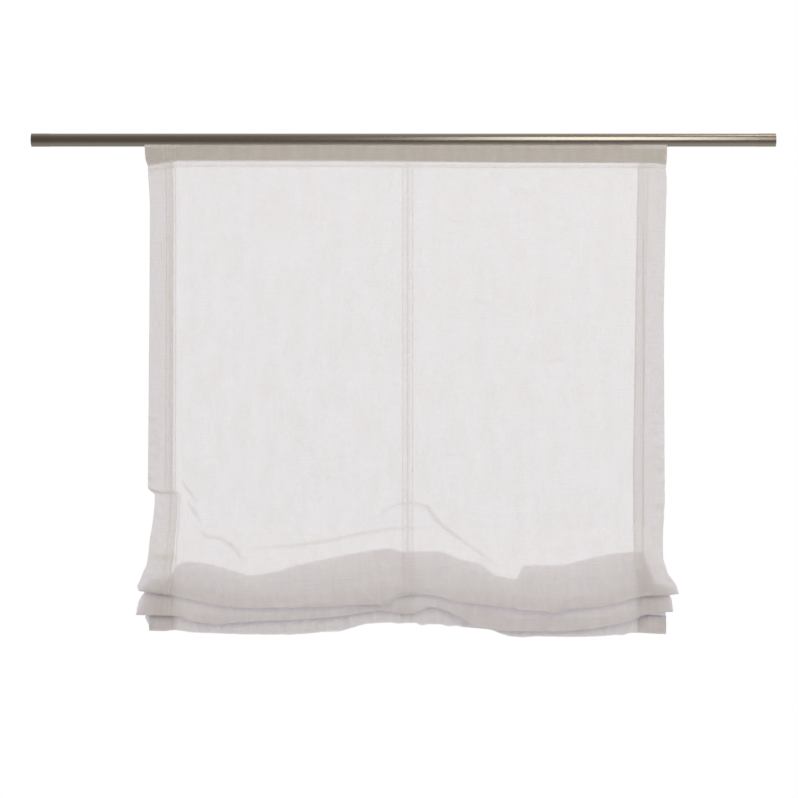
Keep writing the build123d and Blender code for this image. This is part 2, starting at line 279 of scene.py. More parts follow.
def grainMaterial(name, colour, metallic, roughness, spread, scale, bump, coat=0.0, glow=0.0):
    material, tree, output = newMaterial(name)
    where = addNode(tree, "ShaderNodeTexCoord")
    mapping = addNode(tree, "ShaderNodeMapping", {"Scale": scale})
    tree.links.new(where.outputs["Object"], mapping.inputs["Vector"])
    values = {"Roughness": roughness, "Spread": spread}
    group = addNode(tree, "ShaderNodeGroup", values, node_tree=grainGroup)
    tree.links.new(mapping.outputs["Vector"], group.inputs["Vector"])
    shader = addNode(tree, "ShaderNodeBsdfPrincipled", {
        "Base Color": colour, "Metallic": metallic, "Coat Weight": coat,
    })
    raised = addNode(tree, "ShaderNodeBump", {"Strength": bump, "Distance": 0.0001})
    tree.links.new(group.outputs["Height"], raised.inputs["Height"])
    tree.links.new(raised.outputs["Normal"], shader.inputs["Normal"])
    tree.links.new(group.outputs["Rough"], shader.inputs["Roughness"])
    if glow:                                            # thin threads let some light through
        lit = addNode(tree, "ShaderNodeBsdfTranslucent", {"Color": colour})
        both = addNode(tree, "ShaderNodeMixShader", {"Fac": glow})
        tree.links.new(shader.outputs[0], both.inputs[1])
        tree.links.new(lit.outputs[0], both.inputs[2])
        shader = both
    tree.links.new(shader.outputs[0], output.inputs["Surface"])
    return material


panelLook = {
    "thread": (0.865, 0.837, 0.705, 1),
    "through": (0.868, 0.857, 0.92, 1),      # light that comes through the threads
    "throughShare": 0.53,
    "gapTint": (0.93, 0.92, 1.0, 1),
    "weave": {"Density": 0.70, "Slub": 0.13, "Bands": 0.05, "Open": 0.30},
    "bump": 0.35,
}
tapeLook = {
    "thread": (0.86, 0.835, 0.76, 1),
    "through": (0.83, 0.815, 0.85, 1),
    "throughShare": 0.55,
    "gapTint": (1.0, 1.0, 1.0, 1),
    "weave": {"Density": 0.09, "Slub": 0.05, "Bands": 0.0, "Open": 0.1},
    "bump": 0.5,
}
half = tapeWidth / 2
innerLines = (-0.0027, 0.0025)               # woven lines beside the tape's middle
tapeLeft = tapeX["left"] - blindLeft
panelCloth = clothMaterial(
    "panelCloth", panelLook,
    seams=((tapeLeft - half, 0.0010, 0.15), (tapeLeft + innerLines[0], 0.0009, 0.10),
           (tapeLeft + innerLines[1], 0.0009, 0.10), (tapeLeft + half, 0.0010, 0.14)),
    rows=((0.0316, 0.0010, 0.34), (0.0342, 0.0010, 0.28)),
)
tapeCloth = clothMaterial(
    "tapeCloth", tapeLook,
    seams=((-half, 0.0014, 0.42), (innerLines[0], 0.0009, 0.34),
           (innerLines[1], 0.0009, 0.34), (half, 0.0014, 0.42)),
)
threadCotton = grainMaterial("threadCotton", (0.62, 0.59, 0.57, 1), 0.0, 0.85, 0.1, (4000, 4000, 4000), 0.4)
loopPile = grainMaterial("loopPile", (0.50, 0.46, 0.42, 1), 0.0, 0.95, 0.05, (2500, 2500, 2500), 0.9)
hookPile = grainMaterial("hookPile", (0.62, 0.60, 0.57, 1), 0.0, 0.6, 0.1, (1800, 1800, 1800), 0.9)
satinNickel = grainMaterial("satinNickel", (0.60, 0.56, 0.51, 1), 1.0, 0.26, 0.05, (5, 700, 700), 0.02)
capNickel = grainMaterial("capNickel", (0.59, 0.54, 0.48, 1), 1.0, 0.25, 0.04, (5, 500, 500), 0.02)
railMetal = grainMaterial("railMetal", (0.72, 0.72, 0.71, 1), 1.0, 0.35, 0.1, (5, 600, 600), 0.1)
acetal = grainMaterial("acetal", (0.80, 0.79, 0.76, 1), 0.0, 0.45, 0.1, (900, 900, 900), 0.15)
clearPlastic = grainMaterial(
    "clearPlastic", (0.74, 0.73, 0.70, 1), 0.0, 0.2, 0.05, (300, 300, 300), 0.05, coat=0.3,
)
zinc = grainMaterial("zinc", (0.66, 0.66, 0.65, 1), 1.0, 0.3, 0.15, (1500, 1500, 1500), 0.1)
springSteel = grainMaterial("springSteel", (0.55, 0.55, 0.55, 1), 1.0, 0.28, 0.1, (1200, 1200, 1200), 0.1)
cordBraid = grainMaterial(
    "cordBraid", (0.84, 0.82, 0.80, 1), 0.0, 0.85, 0.1, (2200, 2200, 1100), 0.8, glow=0.65,
)

finishes = {
    "rod_tube": satinNickel, "end_cap_": capNickel, "track_stop_": acetal, "stop_screw_": zinc,
    "glider_screws": zinc, "glider_": acetal, "guide_screws": zinc, "carrier_rail": railMetal,
    "hook_tape": hookPile, "cord_guide_": acetal, "cord_stop_": clearPlastic,
    "stop_plunger_": acetal, "stop_spring_": springSteel, "lift_cord_": cordBraid,
}


def finishOf(node):
    for start, material in finishes.items():
        if node.startswith(start):
            return material
    return panelCloth


for name, node in nodes.items():
    node.data.materials.clear()
    node.data.materials.append(finishOf(name))
print("materials made")


# the cord stops' coil springs, each copied into a mesh of its own


def makeSpring(side):
    node = f"stop_spring_{side}"
    bm = bmesh.new()
    bm.from_mesh(nodes[node].data)
    bmesh.ops.remove_doubles(bm, verts=bm.verts, dist=1e-6)
    spring = newObject(f"coilSpring_{side}", bm, springSteel, "blind")
    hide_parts(node)
    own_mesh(spring)


for side in tapeX:
    makeSpring(side)
print("springs coiled")


# the cloth: one sheet with turned hems, hanging in two soft folds
# Places across are from the cloth's left edge, drops are below the rod's axis.

cloth = {
    "sideHem": {"left": 0.0395, "right": 0.0430},      # turned in as far as the tapes
    "headingTurn": 0.0265,
    "bottomTurn": 0.030,      # turned up twice
    "turnGap": 0.0008,
    "hemGap": 0.0003,
    "top": -panelHigh.z,
    "frontBend": [(0, .602), (.20, .606), (.40, .597), (.57, .608), (.80, .600)],
    "bulge": [
        (0, .012), (.04, .012), (.15, .018), (.25, .018), (.39, .012), (.55, .018), (.66, .017),
        (.80, .012),
    ],
    "foldOne": [
        (0, .696), (.02, .699), (.05, .705), (.083, .712), (.106, .718), (.146, .722), (.22, .7215),
        (.283, .720), (.314, .717), (.358, .717), (.366, .720), (.372, .712), (.385, .705), (.41, .702),
        (.437, .702), (.452, .705), (.475, .712), (.50, .715), (.53, .718), (.554, .722), (.586, .726),
        (.613, .7265), (.625, .731), (.638, .727), (.657, .723), (.70, .720), (.724, .715), (.74, .709),
        (.76, .7035), (.787, .7025), (.80, .700),
    ],
    "liftTwo": [
        (0, .680), (.036, .674), (.046, .655), (.062, .650), (.10, .656), (.125, .663), (.155, .673),
        (.185, .669), (.204, .665), (.227, .658), (.267, .649), (.298, .642), (.338, .635), (.362, .631),
        (.374, .630), (.393, .636), (.451, .635), (.485, .648), (.516, .655), (.535, .672), (.569, .679),
        (.573, .676), (.577, .657), (.634, .657), (.645, .656), (.689, .644), (.722, .638), (.745, .636),
        (.762, .636), (.770, .655), (.778, .686), (.80, .688),
    ],
    "foldTwo": [
        (0, .734), (.035, .735), (.051, .736), (.067, .7435), (.09, .7465), (.106, .7495), (.12, .747),
        (.177, .7435), (.22, .742), (.267, .739), (.306, .735), (.33, .730), (.36, .727), (.40, .733),
        (.412, .732), (.432, .721), (.452, .724), (.483, .737), (.502, .751), (.53, .757), (.556, .759),
        (.641, .760), (.683, .756), (.70, .753), (.732, .747), (.748, .742), (.76, .735), (.78, .730),
        (.80, .729),
    ],
    "liftOne": [
        (0, .685), (.035, .681), (.06, .689), (.114, .698), (.177, .704), (.267, .703), (.32, .694),
        (.39, .688), (.436, .692), (.49, .695), (.546, .701), (.606, .705), (.62, .710), (.636, .706),
        (.683, .704), (.74, .692), (.765, .687), (.80, .688),
    ],
    "hem": [
        (0, .7595), (.023, .760), (.043, .758), (.067, .762), (.114, .7635), (.146, .765), (.22, .7655),
        (.243, .764), (.275, .761), (.297, .7605), (.314, .755), (.335, .749), (.351, .7475),
        (.377, .7465), (.385, .748), (.40, .7475), (.414, .747), (.423, .7515), (.431, .7495),
        (.451, .749), (.466, .753), (.477, .7515), (.488, .754), (.529, .757), (.546, .764), (.559, .768),
        (.578, .7695), (.601, .768), (.657, .769), (.70, .768), (.724, .7655), (.737, .7665), (.745, .7625),
        (.764, .763), (.783, .764), (.80, .765),
    ],
    "levels": {"oneBack": -.0120, "twoFront": -.0055, "twoBack": .0030, "flap": .0100},
    # Each flare moves an edge sideways at a place down the cloth. A place under 1 is in metres.
    # From 1 on it counts features: 1 bend, 2 belly, 3 first fold, 4 the lift behind it, 5 second
    # fold, 6 the lift behind that, 7 hem.
    "leftFlare": [
        (0, -.0048), (.016, -.0034), (.026, .001), (.045, .0011), (.06, .0025), (.09, .004), (.20, .0035),
        (.27, .003), (.43, .0015), (.525, .0006), (.55, .0010), (.588, -.0005), (.61, -.0018), (2, -.001),
        (2.2, -.004), (2.6, -.0108), (2.8, -.0150), (3, -.0125), (3.3, -.006), (3.6, 0), (4, .002),
        (4.3, 0), (4.5, -.0085), (4.7, -.0124), (5, -.0188), (5.2, -.0150), (5.6, -.007), (6, -.003),
        (6.5, -.004), (6.68, -.0042), (6.76, -.0058), (6.87, -.0002), (7, .0006),
    ],
    "leftTuck": [
        (.527, 0), (.5365, .0108), (.55, .0100), (.57, .0090), (.60, .0060), (.63, .0040), (2.2, 0),
    ],
    "rightFlare": [
        (0, .002), (.022, .0008), (.031, 0), (.0345, -.0009), (.048, .0009), (.07, .0008), (.09, 0),
        (.1225, -.0009), (.263, -.0039), (.40, -.003), (.548, -.0023), (.609, -.0056), (1.85, -.0056),
        (2.3, .0015), (2.67, .0142), (3, .0190), (3.3, .0120), (4, .006), (4.35, .0048), (5, .0115),
        (5.5, .006), (6, .002), (6.5, .001), (7, .0023),
    ],
    # how much the weave is thinned at each fold's edge: painted light on the shade line under it
    "foldEdgePaintedLight": 0.03,
    "fineReach": 0.006,        # rows stay close together this far from a fold
    "thinnestPress": 0.0025,   # half the width of the finest crease
    "puckerWidth": 0.018,
    "flareReach": 0.035,
    "tuckReach": 0.065,
    "endDroop": {"left": (.055, .0108), "right": (.020, .0035), "fade": .07},
    "askew": [(0, 0), (.26, 0), (.52, .0036), (.80, .0050)],      # the heading sits lower at the right
}
# Each crease runs from left to right, and the cloth below it stands forward by its height. Its edge is
# how wide the step is, its run how far the step takes to fade, and its last number how much the weave
# closes along it: partly real pressing, partly painted crease shade, and painted light where it is below
# zero.
creases = [
    {"line": [(.355, .578), (.382, .563), (.413, .561), (.432, .566), (.444, .585), (.464, .603),
              (.482, .616), (.513, .637), (.545, .662)],
     "height": .0065, "edge": .0034, "run": .045, "pressAndShade": .28},
    {"line": [(.15, .631), (.22, .627), (.283, .618), (.332, .607), (.388, .5995), (.45, .597)],
     "height": .0042, "edge": .0032, "run": .030, "pressAndShade": .22},
    {"line": [(.052, .522), (.060, .538), (.073, .560)],
     "height": .0028, "edge": .0025, "run": -.010, "pressAndShade": .20},
    {"line": [(.055, .556), (.066, .570), (.081, .590)],
     "height": .0035, "edge": .0024, "run": .012, "pressAndShade": .24},
    {"line": [(.079, .584), (.082, .604), (.090, .612), (.114, .615), (.130, .627), (.155, .655)],
     "height": .0045, "edge": .0030, "run": .030, "pressAndShade": .20},
    {"line": [(.120, .618), (.137, .632), (.150, .648)],
     "height": .0015, "edge": .0025, "run": .010, "pressAndShade": .10},
    {"line": [(-.012, .533), (.002, .5395), (.012, .5445), (.046, .5445)],
     "height": -.0030, "edge": .0018, "run": .015, "pressAndShade": .22},
    {"line": [(.004, .6425), (.026, .6445), (.048, .6430)],
     "height": .0030, "edge": .0076, "run": .006, "pressAndShade": .26},
    {"line": [(.408, .515), (.425, .485), (.442, .452)],
     "height": .0022, "edge": .0040, "run": .012, "pressAndShade": .06},
    {"line": [(.49, .584), (.55, .575), (.60, .571), (.66, .564)],
     "height": .0030, "edge": .006, "run": .030, "pressAndShade": -.03},
    {"line": [(.58, .636), (.66, .626), (.72, .612), (.77, .596)],
     "height": .0030, "edge": .005, "run": .022, "pressAndShade": .03},
    {"line": [(.322, .684), (.345, .704), (.366, .722)],
     "height": .0030, "edge": .004, "run": .012, "pressAndShade": .10},
    {"line": [(.356, .650), (.370, .685), (.367, .726)],
     "height": .0045, "edge": .004, "run": .012, "pressAndShade": .14},
    {"line": [(.366, .722), (.378, .706), (.402, .688)],
     "height": .0030, "edge": .003, "run": -.010, "pressAndShade": .12},
    {"line": [(.58, .700), (.605, .715), (.625, .733)],
     "height": .0025, "edge": .004, "run": .012, "pressAndShade": .05},
    {"line": [(.625, .733), (.645, .715), (.68, .700)],
     "height": .0025, "edge": .004, "run": -.012, "pressAndShade": .05},
    {"line": [(.042, .006), (.047, .018), (.053, .036)],
     "height": .0008, "edge": .0030, "run": .006, "pressAndShade": -.16},
    {"line": [(.26, .030), (.40, .033), (.41, .036)],
     "height": .0006, "edge": .0016, "run": .004, "pressAndShade": .10},
]
# Soft waves, each as height, radians a metre across and down, and phase.
waves = {
    "body": [(.0016, 47, 2.2, 0), (.0011, 83, -3.0, 1.1), (.0008, 29, 9.0, .6)],
    "sideHems": [(.0009, 60, 210, 0), (.0007, -90, 340, 1.3)],
    "flap": [(.0013, 190, 0, 1.0), (.0010, 330, 0, 2.0), (.0008, 95, 0, 0)],
    "frontLayers": [(.0010, 31, 0, 1.0)],
    "backLayers": [(.0012, 23, 0, 2.4)],
}


def spread(stations, x, soft=0.005):
    # the line through the stations, softened over about this distance
    places, values = zip(*stations)
    steps = np.linspace(-1.5, 1.5, 7)
    weights = np.exp(-steps ** 2)
    total = sum(w * np.interp(np.asarray(x) + d * soft, places, values) for d, w in zip(steps, weights))
    return total / weights.sum()


def waved(name, x, drop=0.0):
    return sum(
        height * np.sin(across * x + down * drop + phase) for height, across, down, phase in waves[name]
    )


def smoothStep(low, high, x):
    t = np.clip((x - low) / (high - low), 0, 1)
    return t * t * (3 - 2 * t)


def roundedLine(corners, arcPieces=8):
    # corners: y, z, radius, how many pieces the straight run after it has, and a name for its place
    points, marks = [], {}
    start, pieces = Vector(corners[0][:2]), corners[0][3]
    for earlier, (y, z, radius, following, mark), later in zip(corners, corners[1:], corners[2:]):
        here = Vector((y, z))
        before, after = Vector(earlier[:2]) - here, Vector(later[:2]) - here
        bend = math.pi - before.angle(after)
        radius = min(radius, 0.48 * min(before.length, after.length) / max(math.tan(bend / 2), 1e-6))
        reach = radius * math.tan(bend / 2)
        arcStart = here + before.normalized() * reach
        inward = (before.normalized() + after.normalized()).normalized()
        centre = here + inward * (radius / math.cos(bend / 2))
        arm = arcStart - centre
        way = 1 if before.cross(after) < 0 else -1
        points += [start.lerp(arcStart, k / pieces) for k in range(pieces)]
        if mark:
            marks[mark] = len(points) + arcPieces / 2
        for k in range(arcPieces):
            angle = way * bend * k / arcPieces
            turn = Vector((math.cos(angle), math.sin(angle)))
            turned = Vector((arm.x * turn.x - arm.y * turn.y, arm.x * turn.y + arm.y * turn.x))
            points.append(centre + turned)
        start = here + after.normalized() * reach
        pieces = following
    last = Vector(corners[-1][:2])
    points += [start.lerp(last, k / pieces) for k in range(pieces + 1)]
    marks["end"] = len(points) - 1
    return np.array([(p.x, p.y) for p in points]), marks


profile = {
    "frontGap": 0.0011,        # from the loop tape to the cloth's front layer
    "softRadius": 0.030,       # where the cloth starts to come forward, and at its belly
    "partRadius": 0.018,       # where two layers part
    "foldHalf": 0.0011,        # half the space between the layers at a fold's edge
    "edgeRadius": 0.0010,
    "tipGap": 0.0022,          # between the layers at the first fold's edge
    "tipBulge": 0.62,          # how much of the belly's bulge is left at the first fold
    "bellyDown": 0.55,         # how far down from the bend to the first fold the belly is
    "foldReach": 0.020,        # the layers of a fold part over this height
    "liftReach": 0.014,
}


def pinch(yIn, yOut, drop, room, name, down, toFront=0.5, reach=profile["foldReach"]):
    # a pressed fold: the two layers close together at its edge and part again further from it
    side = 1 if yOut > yIn else -1
    thin, soft = profile["foldHalf"], profile["partRadius"]
    middle = yIn + (yOut - yIn) * toFront
    parted = min(reach, 0.42 * room)
    away = drop - parted if down else drop + parted
    return [
        (yIn, -away, soft, 6, None),
        (middle - side * thin, -drop, thin * 0.9, 1, name + "In"),
        (middle + side * thin, -drop, thin * 0.9, 6, name + "Out"),
        (yOut, -away, soft, 8, None),
    ]


frontY = loopLow.y - profile["frontGap"]


def profileAt(x):
    # the cloth's section at one place across, from the heading's turned edge to the bottom hem's
    drop = {key: float(spread(cloth[key], x)) for key in ("frontBend", "bulge", "foldOne", "foldTwo")}
    drop.update({key: float(spread(cloth[key], x, 0.003)) for key in ("liftTwo", "liftOne", "hem")})
    gap, top, level = cloth["turnGap"], cloth["top"], cloth["levels"]
    frontWave, backWave = waved("frontLayers", x), waved("backLayers", x)
    oneBack, twoFront = level["oneBack"] + frontWave, level["twoFront"] + frontWave
    twoBack, flap = level["twoBack"] + backWave, level["flap"] + backWave
    tip = min(frontY - drop["bulge"] * profile["tipBulge"], oneBack - 0.0045)
    bend, one, two, hem = drop["frontBend"], drop["foldOne"], drop["foldTwo"], drop["hem"]
    liftTwo, liftOne = drop["liftTwo"], drop["liftOne"]
    belly = bend + profile["bellyDown"] * (one - bend)
    parted = min(profile["foldReach"], 0.45 * (one - liftTwo))
    soft, edge, small = profile["softRadius"], profile["edgeRadius"], gap * 0.45
    lift = profile["liftReach"]
    return roundedLine([
        (frontY + gap, -top - cloth["headingTurn"], 0, 8, None),
        (frontY + gap, -top, small, 1, None),
        (frontY, -top, small, 120, None),
        (frontY, -bend, soft, 12, "bend"),
        (frontY - drop["bulge"], -belly, soft, 10, "belly"),
        (tip, -one, edge, 1, "oneIn"),
        (tip + profile["tipGap"], -one, edge, 6, "oneOut"),
        (oneBack, -one + parted, profile["partRadius"], 8, None),
        *pinch(oneBack, twoFront, liftTwo, one - liftTwo, "liftTwo", False, reach=lift),
        *pinch(twoFront, twoBack, two, two - liftTwo, "two", True, toFront=0.35),
        *pinch(twoBack, flap, liftOne, two - liftOne, "liftOne", False, reach=lift),
        (flap, -hem, small, 1, "hemIn"),
        (flap + gap, -hem, small, 8, "hemOut"),
        (flap + gap, -hem + cloth["bottomTurn"], small * 0.5, 1, None),
        (flap + gap * 0.5, -hem + cloth["bottomTurn"], small * 0.5, 8, None),
        (flap + gap * 0.5, -hem + 0.002, 0, 1, None),
    ])


def nearLine(line, x, drop):
    # how far a point is below the line, and how far along it its nearest place is
    bestFar = np.full(len(x), 9.0)
    below, along = np.zeros(len(x)), np.zeros(len(x))
    for k, ((ax, az), (bx, bz)) in enumerate(zip(line, line[1:])):
        dx, dz = bx - ax, bz - az
        t = np.clip(((x - ax) * dx + (drop - az) * dz) / (dx * dx + dz * dz), 0, 1)
        far = np.hypot(x - ax - t * dx, drop - az - t * dz)
        side = np.sign(dx * (drop - az) - dz * (x - ax))
        nearer = far < bestFar
        bestFar = np.where(nearer, far, bestFar)
        below = np.where(nearer, far * side, below)
        along = np.where(nearer, (k + t) / (len(line) - 1), along)
    return below, along


def creased(x, drop):
    forward, pressAndPaintedLight = np.zeros(len(x)), np.zeros(len(x))
    for crease in creases:
        below, along = nearLine(crease["line"], x, drop)
        fade = np.sin(np.pi * np.clip(along, 0.0, 1.0)) ** 0.6
        edge, run = crease["edge"], crease["run"]
        if run > 0:
            step = smoothStep(-edge, edge, below) * np.exp(-np.clip(below - edge, 0, None) / run)
        else:
            step = smoothStep(edge, -edge, below) * np.exp(np.clip(below + edge, None, 0) / -run)
        forward += crease["height"] * step * fade
        breadth = max(edge * 0.75, cloth["thinnestPress"])
        # the weave closes along the crease line: partly real pressing, partly painted crease shade
        pressAndPaintedLight += crease["pressAndShade"] * np.exp(-(below / breadth) ** 2) * fade
    return forward, pressAndPaintedLight


def rippled(x, drop):
    # soft upright waves, and small puckers in the side hems
    body = waved("body", x, drop) * smoothStep(0.05, 0.22, drop)
    width = cloth["puckerWidth"]
    nearSide = np.exp(-(x / width) ** 2) + np.exp(-((blindWidth - x) / width) ** 2)
    return body + waved("sideHems", x, drop) * nearSide


def askewAt(x):
    return spread(cloth["askew"], x)


class ClothShape:
    # where each point of the flat cloth hangs; x is across, s runs down from the top edge
    def __init__(self):
        self.columns = np.linspace(0, blindWidth, 401)
        middle, marks = profileAt(blindWidth / 2)
        steps = np.hypot(*np.diff(middle, axis=0).T)
        self.rows = np.concatenate([[0], np.cumsum(steps)]) - cloth["headingTurn"]
        self.length = self.rows[-1]
        self.table = np.array([profileAt(float(x))[0] for x in self.columns])
        at = {key: float(np.interp(k, range(len(self.rows)), self.rows)) for key, k in marks.items()}
        keys = ("one", "liftTwo", "two", "liftOne", "hem")
        edges = [(at[f"{key}In"] + at[f"{key}Out"]) / 2 for key in keys]
        self.features = [at["bend"], at["belly"], *edges]
        self.hemLine = at["hemIn"]

    def place(self, value):
        return value if value < 1 else float(np.interp(value, range(1, 8), self.features))

    def hang(self, x, s):
        row = np.interp(s, self.rows, range(len(self.rows)))
        across = np.clip(x / blindWidth, 0, 1) * (len(self.columns) - 1)
        i = np.minimum(across.astype(int), len(self.columns) - 2)
        j = np.minimum(row.astype(int), len(self.rows) - 2)
        u, v = (across - i)[:, None], (row - j)[:, None]
        near = self.table[i, j] * (1 - v) + self.table[i, j + 1] * v
        far = self.table[i + 1, j] * (1 - v) + self.table[i + 1, j + 1] * v
        both = near * (1 - u) + far * u
        return both[:, 0], both[:, 1]

    def flare(self, key, s):
        return spread([(self.place(p), v) for p, v in cloth[key]], s, 0.0015)

    def points(self, x, s, behind=0.0):
        # behind moves the point off the cloth, towards the side that faces the window
        y, z = self.hang(x, s)
        near = 0.0006
        y2, z2 = self.hang(x, s + near)
        y1, z1 = self.hang(x, s - near)
        ty, tz = y2 - y1, z2 - z1
        size = np.maximum(np.hypot(ty, tz), 1e-9)
        drop = -z
        front = 1 - smoothStep(self.features[2] - 0.006, self.features[2], s)
        hanging = smoothStep(0.005, 0.045, s)
        y, z = y - tz / size * behind, z + ty / size * behind
        y = y - (creased(x, drop)[0] * hanging + rippled(x, drop) * hanging) * front
        y = y + smoothStep(self.features[5], self.features[6], s) * waved("flap", x)
        fromLeft, fromRight = x, blindWidth - x
        reach, droop = cloth["flareReach"], cloth["endDroop"]
        level = np.abs(s)                    # so the heading's turned layer follows the front one
        move = np.exp(-(fromLeft / reach) ** 2) * self.flare("leftFlare", level)
        move += np.exp(-(fromRight / reach) ** 2) * self.flare("rightFlare", level)
        move += np.exp(-(fromLeft / cloth["tuckReach"]) ** 2) * self.flare("leftTuck", s)
        fade = np.exp(-level / droop["fade"]) * smoothStep(0.0, 0.024, level)
        for far, (width, depth) in ((fromLeft, droop["left"]), (fromRight, droop["right"])):
            z = z - depth * np.clip(1 - far / width, 0, 1) ** 1.4 * fade
        z = z - 0.5 * askewAt(x) * smoothStep(0.0, 0.03, level) * np.exp(-level / 0.15)
        return blindLeft + x + move, y, z


shape = ClothShape()
print(f"cloth shape: {shape.length:.3f} m long, {len(shape.rows)} rows")


def stepsAlong(*stretches):
    values = []
    for start, end, count in stretches:
        values += list(np.linspace(start, end, count, endpoint=False))
    return np.array(values + [stretches[-1][1]])


def clothGrid(name, acrossSteps, downSteps, place, material):
    bm = bmesh.new()
    nx, ny = len(acrossSteps), len(downSteps)
    bmesh.ops.create_grid(bm, x_segments=nx - 1, y_segments=ny - 1, size=1)
    bm.verts.ensure_lookup_table()
    flat = np.array([v.co[:2] for v in bm.verts])
    column = np.rint((flat[:, 0] + 1) / 2 * (nx - 1)).astype(int)
    row = np.rint((1 - flat[:, 1]) / 2 * (ny - 1)).astype(int)
    across, down = acrossSteps[column], downSteps[row]
    for v, spot in zip(bm.verts, zip(*place(across, down))):
        v.co = spot
    layer = bm.loops.layers.uv.new("cut")
    for face in bm.faces:
        for loop in face.loops:
            k = loop.vert.index
            loop[layer].uv = (across[k], down[k])
    piece = newObject(name, bm, material, "blind")
    return piece, across, down


tapes = {
    "start": 0.035,
    "behind": 0.0006,
    "aboveHem": 0.004,
    "lean": {
        "left": [(0, 0)],
        "centre": [(0, 0)],
        "right": [(0, 0), (.10, -.0015), (.30, -.004), (.50, -.0075), (.64, -.006), (.70, 0)],
    },
}


def leanOf(side, s):
    places, values = zip(*tapes["lean"][side])
    return np.interp(s, places, values)


hemLeft, hemRight = cloth["sideHem"]["left"], cloth["sideHem"]["right"]


def foldedBack(across, down):
    # across runs past both edges by the width of the turned side hems
    x = np.where(across < 0, -across, np.where(across > blindWidth, 2 * blindWidth - across, across))
    x = x + leanOf("right", down) * np.clip((across - blindWidth) / hemRight, 0, 1)
    past = np.maximum(-across, across - blindWidth)
    return x, smoothStep(0.0, 0.0010, past) * cloth["hemGap"]


def placePanel(across, down):
    x, turned = foldedBack(across, down)
    deeper = 1 + 0.5 * askewAt(x) / cloth["headingTurn"]         # the heading's turned layer
    return shape.points(x, np.where(down < 0, down * deeper, down), turned)


# the cloth's mesh: closer columns where it flares and turns, closer rows near folds and creases
edge, leftReach, rightReach = 0.001, 0.11, 0.05
clothAcross = stepsAlong(
    (-hemLeft, -edge, 9), (-edge, edge, 4), (edge, leftReach, 40),
    (leftReach, blindWidth - rightReach, 180), (blindWidth - rightReach, blindWidth - edge, 16),
    (blindWidth - edge, blindWidth + edge, 4), (blindWidth + edge, blindWidth + hemRight, 9),
)
turnFoot, headingFoot, creaseTop = 0.004, 0.048, 0.41
foldPlaces = np.array(shape.features[2:])
plainRows = stepsAlong(
    (turnFoot, headingFoot, 18), (headingFoot, creaseTop, 32), (creaseTop, foldPlaces[0], 128),
    (foldPlaces[0], shape.length, 86),
)
fromFold = [np.abs(rows[:, None] - foldPlaces).min(axis=1) for rows in (plainRows, shape.rows)]
clothDown = np.unique(np.concatenate([
    shape.rows[shape.rows < turnFoot],
    plainRows[fromFold[0] >= cloth["fineReach"]],
    shape.rows[fromFold[1] < cloth["fineReach"]],
]))
panel, across, down = clothGrid(
    "sheerPanel", clothAcross, clothDown, placePanel, panelCloth,
)
x, _ = foldedBack(across, down)
onFront = 1 - smoothStep(shape.features[2] - 0.01, shape.features[2], down)
# cover along creases: partly real pressing, partly painted crease shade
pressAndPaintedLight = creased(x, -shape.hang(x, down)[1])[1] * onFront
for k in (2, 4):                             # painted light: the weave is thinned along each soft fold's edge, lightening the shade line under it
    pressAndPaintedLight -= cloth["foldEdgePaintedLight"] * np.exp(-((down - shape.features[k]) / 0.0035) ** 2)
creaseLayer = panel.data.attributes.new("pressAndPaintedLight", "FLOAT", "POINT")
creaseLayer.data.foreach_set("value", pressAndPaintedLight)
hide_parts("fabric_panel")
print("panel:", len(panel.data.polygons), "faces")


# tapes and sewing

sewing = {
    "thread": 0.00016,
    "pitch": 0.0028,
    "samples": 4,              # for each pitch
    "lift": 0.0003,            # the thread's middle behind the cloth's
    "dip": 0.00045,
    "heading": {"a": 0.0318, "b": 0.0340},
    "loopInset": 0.0015,
    "hemInset": 0.0025,
    "tapeInset": 0.0013,
    "sideInset": 0.002,
    "fromEdge": 0.001,
}
loopPiece = {"inset": 0.0004, "height": 0.020, "behind": 0.0013}
tapeEnd = shape.hemLine - tapes["aboveHem"]
for side, x in tapeX.items():
    middle = x - blindLeft

    def placeTape(across, down, middle=middle, side=side):
        behind = np.full(len(across), tapes["behind"])
        return shape.points(middle + across + leanOf(side, down), down, behind)

    onTape = (clothDown > tapes["start"]) & (clothDown < tapeEnd)
    tapeRows = np.append(tapes["start"], clothDown[onTape])
    tape, _, _ = clothGrid(
        f"liftingTape_{side}", np.linspace(-tapeWidth / 2, tapeWidth / 2, 9), tapeRows,
        placeTape, tapeCloth,
    )
    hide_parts(f"lifting_tape_{side}")


def placeLoopTape(across, down):
    behind = np.full(len(across), loopPiece["behind"])
    return shape.points(across, down + 0.5 * askewAt(across), behind)


loopTop = -loopHigh.z - cloth["top"]
loopTape, _, _ = clothGrid(
    "loopTape", np.linspace(loopPiece["inset"], blindWidth - loopPiece["inset"], 200),
    np.linspace(loopTop, loopTop + loopPiece["height"], 9), placeLoopTape, loopPile,
)
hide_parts("loop_tape")


